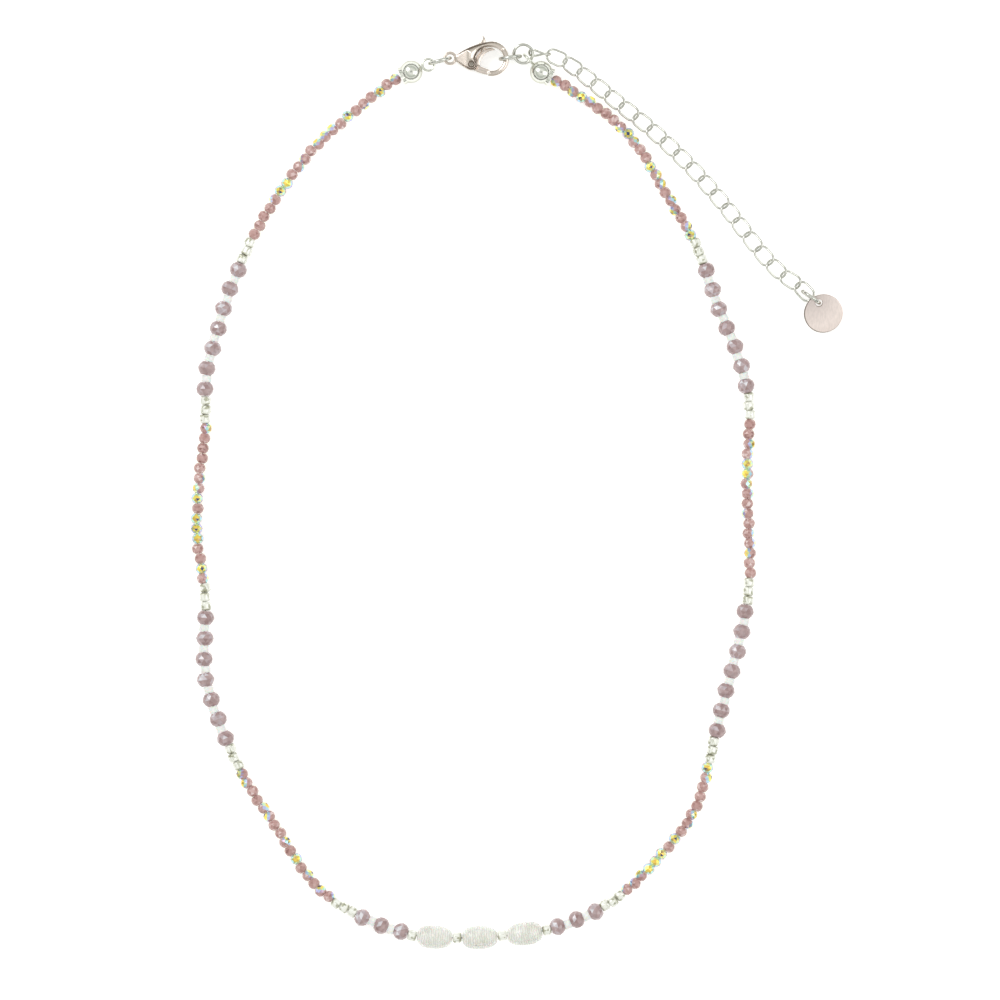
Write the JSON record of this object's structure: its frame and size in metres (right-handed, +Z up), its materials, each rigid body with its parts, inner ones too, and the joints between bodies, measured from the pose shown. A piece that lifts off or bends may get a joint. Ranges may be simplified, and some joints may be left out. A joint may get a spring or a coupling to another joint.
{
  "type": "beaded pearl necklace",
  "caption": "Choker-length strand of faceted glass beads and small seed beads with rice pearls at the front, closed by a lobster clasp and a chain extender with a round tag.",
  "frame": {"origin": "centre of the necklace's footprint, on the flat surface it lies on", "axes": "+Z up off that surface, the shortest extent; +Y from the pearls at the front of the neck towards the clasp at its back, the longest extent; +X completes the right-handed set, so the chain extender and tag lie on the +X side"},
  "size_m": [0.1166, 0.163, 0.0044],
  "materials": {
    "rose_glass": "gloss",
    "mauve_crystal": "gloss",
    "white_silk_glass": "satin",
    "silver_lined_glass": "gloss",
    "cream_pearl": "satin",
    "silver_plate": "polished",
    "clasp_plate": "polished",
    "brushed_plate": "satin",
    "steel_wire": "satin",
    "spring_steel": "satin"
  },
  "bodies": {
    "strand": {"beading_wire": "steel_wire", "crimp_left": "silver_plate", "crimp_right": "silver_plate", "end_cap_left": "silver_plate", "end_cap_right": "silver_plate", "glass_rounds_1": "rose_glass", "glass_rounds_2": "rose_glass", "glass_rounds_3": "rose_glass", "glass_rounds_4": "rose_glass", "glass_rounds_5": "rose_glass", "glass_rounds_6": "rose_glass", "rondelles_1": "mauve_crystal", "rondelles_2": "mauve_crystal", "rondelles_3": "mauve_crystal", "rondelles_4": "mauve_crystal", "rondelles_5": "mauve_crystal", "rondelles_6": "mauve_crystal", "seed_beads_front": "silver_lined_glass", "seed_beads_left": "silver_lined_glass", "seed_beads_right": "silver_lined_glass", "white_spacers_1": "white_silk_glass", "white_spacers_2": "white_silk_glass", "white_spacers_3": "white_silk_glass", "white_spacers_4": "white_silk_glass", "white_spacers_5": "white_silk_glass", "white_spacers_6": "white_silk_glass"},
    "pearl_left": {"pearl_left": "cream_pearl"},
    "pearl_middle": {"pearl_middle": "cream_pearl"},
    "pearl_right": {"pearl_right": "cream_pearl"},
    "left_ring": {"left_ring": "silver_plate"},
    "clasp": {"clasp_body": "clasp_plate", "lever_pin": "clasp_plate", "lever_spring": "spring_steel"},
    "lever": {"clasp_lever": "clasp_plate"},
    "joining_ring": {"joining_ring": "silver_plate"},
    "catch_ring": {"catch_ring": "silver_plate"},
    "tag_ring": {"tag_ring": "silver_plate"},
    "tag": {"tag": "brushed_plate"},
    "chain_link_01": {"chain_link_01": "silver_plate"},
    "chain_link_02": {"chain_link_02": "silver_plate"},
    "chain_link_03": {"chain_link_03": "silver_plate"},
    "chain_link_04": {"chain_link_04": "silver_plate"},
    "chain_link_05": {"chain_link_05": "silver_plate"},
    "chain_link_06": {"chain_link_06": "silver_plate"},
    "chain_link_07": {"chain_link_07": "silver_plate"},
    "chain_link_08": {"chain_link_08": "silver_plate"},
    "chain_link_09": {"chain_link_09": "silver_plate"},
    "chain_link_10": {"chain_link_10": "silver_plate"},
    "chain_link_11": {"chain_link_11": "silver_plate"},
    "chain_link_12": {"chain_link_12": "silver_plate"},
    "chain_link_13": {"chain_link_13": "silver_plate"},
    "chain_link_14": {"chain_link_14": "silver_plate"},
    "chain_link_15": {"chain_link_15": "silver_plate"},
    "chain_link_16": {"chain_link_16": "silver_plate"},
    "chain_link_17": {"chain_link_17": "silver_plate"},
    "chain_link_18": {"chain_link_18": "silver_plate"},
    "chain_link_19": {"chain_link_19": "silver_plate"},
    "chain_link_20": {"chain_link_20": "silver_plate"},
    "chain_link_21": {"chain_link_21": "silver_plate"}
  },
  "joints": [
    {"name": "pearl_left_spin", "type": "hinge", "parent": "strand", "child": "pearl_left", "pos_m": [-0.01465, -0.07931, 0.0021], "axis": [0.9984, -0.0562, 0], "continuous": true},
    {"name": "pearl_middle_spin", "type": "hinge", "parent": "strand", "child": "pearl_middle", "pos_m": [-0.00658, -0.07939, 0.0021], "axis": [0.9993, 0.037, 0], "continuous": true},
    {"name": "pearl_right_spin", "type": "hinge", "parent": "strand", "child": "pearl_right", "pos_m": [0.00142, -0.07872, 0.0021], "axis": [0.9915, 0.1301, 0], "continuous": true},
    {"name": "left_ring_swing", "type": "hinge", "parent": "strand", "child": "left_ring", "pos_m": [-0.01577, 0.07635, 0.002], "axis": [0, 0, 1], "range_deg": [-1, 1]},
    {"name": "clasp_swing", "type": "hinge", "parent": "left_ring", "child": "clasp", "pos_m": [-0.01188, 0.07751, 0.00185], "axis": [0, 0, 1], "range_deg": [-1, 1]},
    {"name": "lever_open", "type": "hinge", "parent": "clasp", "child": "lever", "pos_m": [-0.00808, 0.07641, 0.00185], "axis": [0, 0, 1], "range_deg": [0, 22], "stiffness_Nm_per_rad": 0.0006, "springref_deg": -9.74, "deforming": ["lever_spring"]},
    {"name": "joining_ring_swing", "type": "hinge", "parent": "strand", "child": "joining_ring", "pos_m": [0.00208, 0.07738, 0.002], "axis": [0, 0, 1], "range_deg": [-0.5, 1.5]},
    {"name": "catch_ring_swing", "type": "hinge", "parent": "joining_ring", "child": "catch_ring", "pos_m": [-0.0005, 0.07823, 0.00195], "axis": [0, 0, 1], "range_deg": [-1, 1]},
    {"name": "chain_link_01_bend", "type": "hinge", "parent": "joining_ring", "child": "chain_link_01", "pos_m": [0.00247, 0.07852, 0.00216], "axis": [0, 0, 1], "range_deg": [0, 10]},
    {"name": "chain_link_02_bend", "type": "hinge", "parent": "chain_link_01", "child": "chain_link_02", "pos_m": [0.00568, 0.07824, 0.00227], "axis": [0, 0, 1], "range_deg": [0, 10]},
    {"name": "chain_link_03_bend", "type": "hinge", "parent": "chain_link_02", "child": "chain_link_03", "pos_m": [0.00861, 0.07699, 0.00171], "axis": [0, 0, 1], "range_deg": [0, 10]},
    {"name": "chain_link_04_bend", "type": "hinge", "parent": "chain_link_03", "child": "chain_link_04", "pos_m": [0.0112, 0.07525, 0.00088], "axis": [0, 0, 1], "range_deg": [0, 10]},
    {"name": "chain_link_05_bend", "type": "hinge", "parent": "chain_link_04", "child": "chain_link_05", "pos_m": [0.0137, 0.07322, 0.00071], "axis": [0, 0, 1], "range_deg": [0, 10]},
    {"name": "chain_link_06_bend", "type": "hinge", "parent": "chain_link_05", "child": "chain_link_06", "pos_m": [0.01621, 0.07119, 0.00071], "axis": [0, 0, 1], "range_deg": [0, 10]},
    {"name": "chain_link_07_bend", "type": "hinge", "parent": "chain_link_06", "child": "chain_link_07", "pos_m": [0.01872, 0.06915, 0.00071], "axis": [0, 0, 1], "range_deg": [0, 10]},
    {"name": "chain_link_08_bend", "type": "hinge", "parent": "chain_link_07", "child": "chain_link_08", "pos_m": [0.02127, 0.06717, 0.00071], "axis": [0, 0, 1], "range_deg": [0, 10]},
    {"name": "chain_link_09_bend", "type": "hinge", "parent": "chain_link_08", "child": "chain_link_09", "pos_m": [0.02378, 0.06513, 0.00071], "axis": [0, 0, 1], "range_deg": [0, 10]},
    {"name": "chain_link_10_bend", "type": "hinge", "parent": "chain_link_09", "child": "chain_link_10", "pos_m": [0.02618, 0.06297, 0.00071], "axis": [0, 0, 1], "range_deg": [0, 10]},
    {"name": "chain_link_11_bend", "type": "hinge", "parent": "chain_link_10", "child": "chain_link_11", "pos_m": [0.02854, 0.06077, 0.00071], "axis": [0, 0, 1], "range_deg": [0, 10]},
    {"name": "chain_link_12_bend", "type": "hinge", "parent": "chain_link_11", "child": "chain_link_12", "pos_m": [0.03083, 0.05849, 0.00071], "axis": [0, 0, 1], "range_deg": [0, 10]},
    {"name": "chain_link_13_bend", "type": "hinge", "parent": "chain_link_12", "child": "chain_link_13", "pos_m": [0.03303, 0.05612, 0.00071], "axis": [0, 0, 1], "range_deg": [0, 10]},
    {"name": "chain_link_14_bend", "type": "hinge", "parent": "chain_link_13", "child": "chain_link_14", "pos_m": [0.03515, 0.05368, 0.00071], "axis": [0, 0, 1], "range_deg": [0, 10]},
    {"name": "chain_link_15_bend", "type": "hinge", "parent": "chain_link_14", "child": "chain_link_15", "pos_m": [0.03722, 0.05121, 0.00071], "axis": [0, 0, 1], "range_deg": [0, 10]},
    {"name": "chain_link_16_bend", "type": "hinge", "parent": "chain_link_15", "child": "chain_link_16", "pos_m": [0.03921, 0.04867, 0.00071], "axis": [0, 0, 1], "range_deg": [0, 10]},
    {"name": "chain_link_17_bend", "type": "hinge", "parent": "chain_link_16", "child": "chain_link_17", "pos_m": [0.04115, 0.04609, 0.00071], "axis": [0, 0, 1], "range_deg": [0, 10]},
    {"name": "chain_link_18_bend", "type": "hinge", "parent": "chain_link_17", "child": "chain_link_18", "pos_m": [0.04314, 0.04354, 0.00071], "axis": [0, 0, 1], "range_deg": [0, 10]},
    {"name": "chain_link_19_bend", "type": "hinge", "parent": "chain_link_18", "child": "chain_link_19", "pos_m": [0.04522, 0.04107, 0.00071], "axis": [0, 0, 1], "range_deg": [0, 10]},
    {"name": "chain_link_20_bend", "type": "hinge", "parent": "chain_link_19", "child": "chain_link_20", "pos_m": [0.04754, 0.03882, 0.00071], "axis": [0, 0, 1], "range_deg": [0, 10]},
    {"name": "chain_link_21_bend", "type": "hinge", "parent": "chain_link_20", "child": "chain_link_21", "pos_m": [0.05028, 0.03711, 0.00088], "axis": [0, 0, 1], "range_deg": [0, 10]},
    {"name": "tag_ring_swing", "type": "hinge", "parent": "chain_link_21", "child": "tag_ring", "pos_m": [0.05311, 0.03447, 0.0021], "axis": [0, 0, 1], "range_deg": [-3, 6]},
    {"name": "tag_swing", "type": "hinge", "parent": "tag_ring", "child": "tag", "pos_m": [0.05393, 0.03389, 0.0021], "axis": [0, 0, 1], "range_deg": [-4, 8]}
  ]
}
